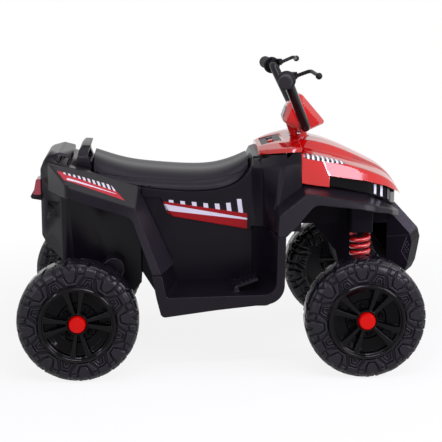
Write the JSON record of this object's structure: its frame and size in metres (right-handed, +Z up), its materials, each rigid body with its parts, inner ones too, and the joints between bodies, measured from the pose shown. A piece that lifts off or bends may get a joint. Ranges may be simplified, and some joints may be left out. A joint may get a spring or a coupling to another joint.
{
  "type": "kids quad bike",
  "caption": "Battery ride-on quad bike for small children: moulded body with footwells, sprung steered front wheels, driven rear wheels, handlebar with levers, foot pedal.",
  "frame": {"origin": "on the ground, midway along the quad's length and width", "axes": "+X forward in the driving direction, +Y to the rider's left, +Z up"},
  "size_m": [0.9998, 0.642, 0.7314],
  "materials": {
    "black_plastic": "satin moulded",
    "wheel_plastic": "matt moulded tread",
    "gloss_black": "gloss",
    "red_plastic": "gloss",
    "seat_plastic": "fine grain",
    "grip_rubber": "matt",
    "bar_paint": "satin paint",
    "spring_paint": "gloss paint",
    "steel": "zinc plated",
    "clear_lens": "clear moulded",
    "red_lens": "translucent",
    "grey_plate": "satin",
    "battery_case": "matt"
  },
  "bodies": {
    "chassis": {"center_body": "black_plastic", "rear_body": "black_plastic", "right_rear_fender": "black_plastic", "left_rear_fender": "black_plastic", "right_footboard": "black_plastic", "left_footboard": "black_plastic", "right_front_fender": "black_plastic", "left_front_fender": "black_plastic", "right_gearbox": "black_plastic", "left_gearbox": "black_plastic", "right_spring": "spring_paint", "left_spring": "spring_paint", "hood": "red_plastic", "headlamp_panel": "gloss_black", "headlamp_lenses": "clear_lens", "front_carrier": "black_plastic", "steering_bush": "black_plastic", "front_bumper": "black_plastic", "seat": "seat_plastic", "grab_handle": "black_plastic", "tail_lamps": "red_lens", "under_tray": "black_plastic", "battery": "battery_case", "control_box": "black_plastic", "dash_plate": "grey_plate", "rear_axle": "steel", "rear_axle_nuts": "steel", "motors": "steel"},
    "steering": {"steering_column": "steel", "handlebar": "bar_paint", "steering_cowl": "red_plastic", "cowl_plate": "grey_plate", "stem_bolt": "steel", "right_grip": "grip_rubber", "left_grip": "grip_rubber", "lever_perches": "black_plastic"},
    "right_lever": {"right_lever": "black_plastic"},
    "left_lever": {"left_lever": "black_plastic"},
    "tie_rod": {"tie_rod": "steel"},
    "right_strut": {"right_strut": "steel"},
    "left_strut": {"left_strut": "steel"},
    "right_knuckle": {"right_knuckle": "steel", "right_front_axle_nut": "steel"},
    "left_knuckle": {"left_knuckle": "steel", "left_front_axle_nut": "steel"},
    "right_front_wheel": {"right_front_wheel": "wheel_plastic", "right_front_wheel_cover": "gloss_black", "right_front_hub_cap": "red_plastic"},
    "left_front_wheel": {"left_front_wheel": "wheel_plastic", "left_front_wheel_cover": "gloss_black", "left_front_hub_cap": "red_plastic"},
    "right_rear_wheel": {"right_rear_wheel": "wheel_plastic", "right_rear_wheel_cover": "gloss_black", "right_rear_hub_cap": "red_plastic"},
    "left_rear_wheel": {"left_rear_wheel": "wheel_plastic", "left_rear_wheel_cover": "gloss_black", "left_rear_hub_cap": "red_plastic"},
    "foot_pedal": {"foot_pedal": "black_plastic"},
    "power_button": {"power_button": "red_plastic"},
    "direction_rocker": {"direction_rocker": "grey_plate"}
  },
  "joints": [
    {"name": "handlebar_steer", "type": "hinge", "parent": "chassis", "child": "steering", "pos_m": [0.193, 0, 0.55], "axis": [-0.342, 0, 0.9397], "range_deg": [-20, 20]},
    {"name": "tie_rod_turn", "type": "hinge", "parent": "steering", "child": "tie_rod", "pos_m": [0.279, 0, 0.16753], "axis": [-0.342, 0, 0.9397], "range_deg": [-20, 20]},
    {"name": "right_strut_slide", "type": "slide", "parent": "chassis", "child": "right_strut", "axis": [0, 0, 1], "range_m": [0, 0.02], "stiffness_N_per_m": 4000, "springref_m": -0.012, "deforming": ["right_spring"]},
    {"name": "right_knuckle_turn", "type": "hinge", "parent": "right_strut", "child": "right_knuckle", "pos_m": [0.329, -0.175, 0.145], "axis": [0, 0, 1], "range_deg": [-20, 20]},
    {"name": "right_front_wheel_spin", "type": "hinge", "parent": "right_knuckle", "child": "right_front_wheel", "pos_m": [0.329, -0.263, 0.145], "axis": [0, 1, 0], "continuous": true},
    {"name": "right_rear_wheel_spin", "type": "hinge", "parent": "chassis", "child": "right_rear_wheel", "pos_m": [-0.355, -0.263, 0.145], "axis": [0, 1, 0], "continuous": true},
    {"name": "right_lever_pull", "type": "hinge", "parent": "steering", "child": "right_lever", "pos_m": [0.164, -0.199, 0.716], "axis": [0, 0, -1], "range_deg": [0, 14], "stiffness_Nm_per_rad": 0.3, "springref_deg": -11.46},
    {"name": "left_strut_slide", "type": "slide", "parent": "chassis", "child": "left_strut", "axis": [0, 0, 1], "range_m": [0, 0.02], "stiffness_N_per_m": 4000, "springref_m": -0.012, "deforming": ["left_spring"]},
    {"name": "left_knuckle_turn", "type": "hinge", "parent": "left_strut", "child": "left_knuckle", "pos_m": [0.329, 0.175, 0.145], "axis": [0, 0, 1], "range_deg": [-20, 20]},
    {"name": "left_front_wheel_spin", "type": "hinge", "parent": "left_knuckle", "child": "left_front_wheel", "pos_m": [0.329, 0.263, 0.145], "axis": [0, 1, 0], "continuous": true},
    {"name": "left_rear_wheel_spin", "type": "hinge", "parent": "chassis", "child": "left_rear_wheel", "pos_m": [-0.355, 0.263, 0.145], "axis": [0, 1, 0], "continuous": true},
    {"name": "left_lever_pull", "type": "hinge", "parent": "steering", "child": "left_lever", "pos_m": [0.164, 0.199, 0.716], "axis": [0, 0, 1], "range_deg": [0, 14], "stiffness_Nm_per_rad": 0.3, "springref_deg": -11.46},
    {"name": "foot_pedal_press", "type": "hinge", "parent": "chassis", "child": "foot_pedal", "pos_m": [0.023, -0.203, 0.21], "axis": [0, 1, 0], "range_deg": [0, 8], "stiffness_Nm_per_rad": 0.6, "springref_deg": -17.19},
    {"name": "power_button_press", "type": "slide", "parent": "chassis", "child": "power_button", "axis": [0.2826, 0, -0.9592], "range_m": [0, 0.0025], "stiffness_N_per_m": 400, "springref_m": -0.002},
    {"name": "direction_rocker_tilt", "type": "hinge", "parent": "chassis", "child": "direction_rocker", "pos_m": [0.11992, 0.028, 0.53476], "axis": [0, 1, 0], "range_deg": [-8, 8]}
  ],
  "couplings": [
    {"joint": "tie_rod_turn", "follows": "handlebar_steer", "ratio": -1},
    {"joint": "right_knuckle_turn", "follows": "handlebar_steer", "ratio": 1},
    {"joint": "left_knuckle_turn", "follows": "handlebar_steer", "ratio": 1}
  ]
}
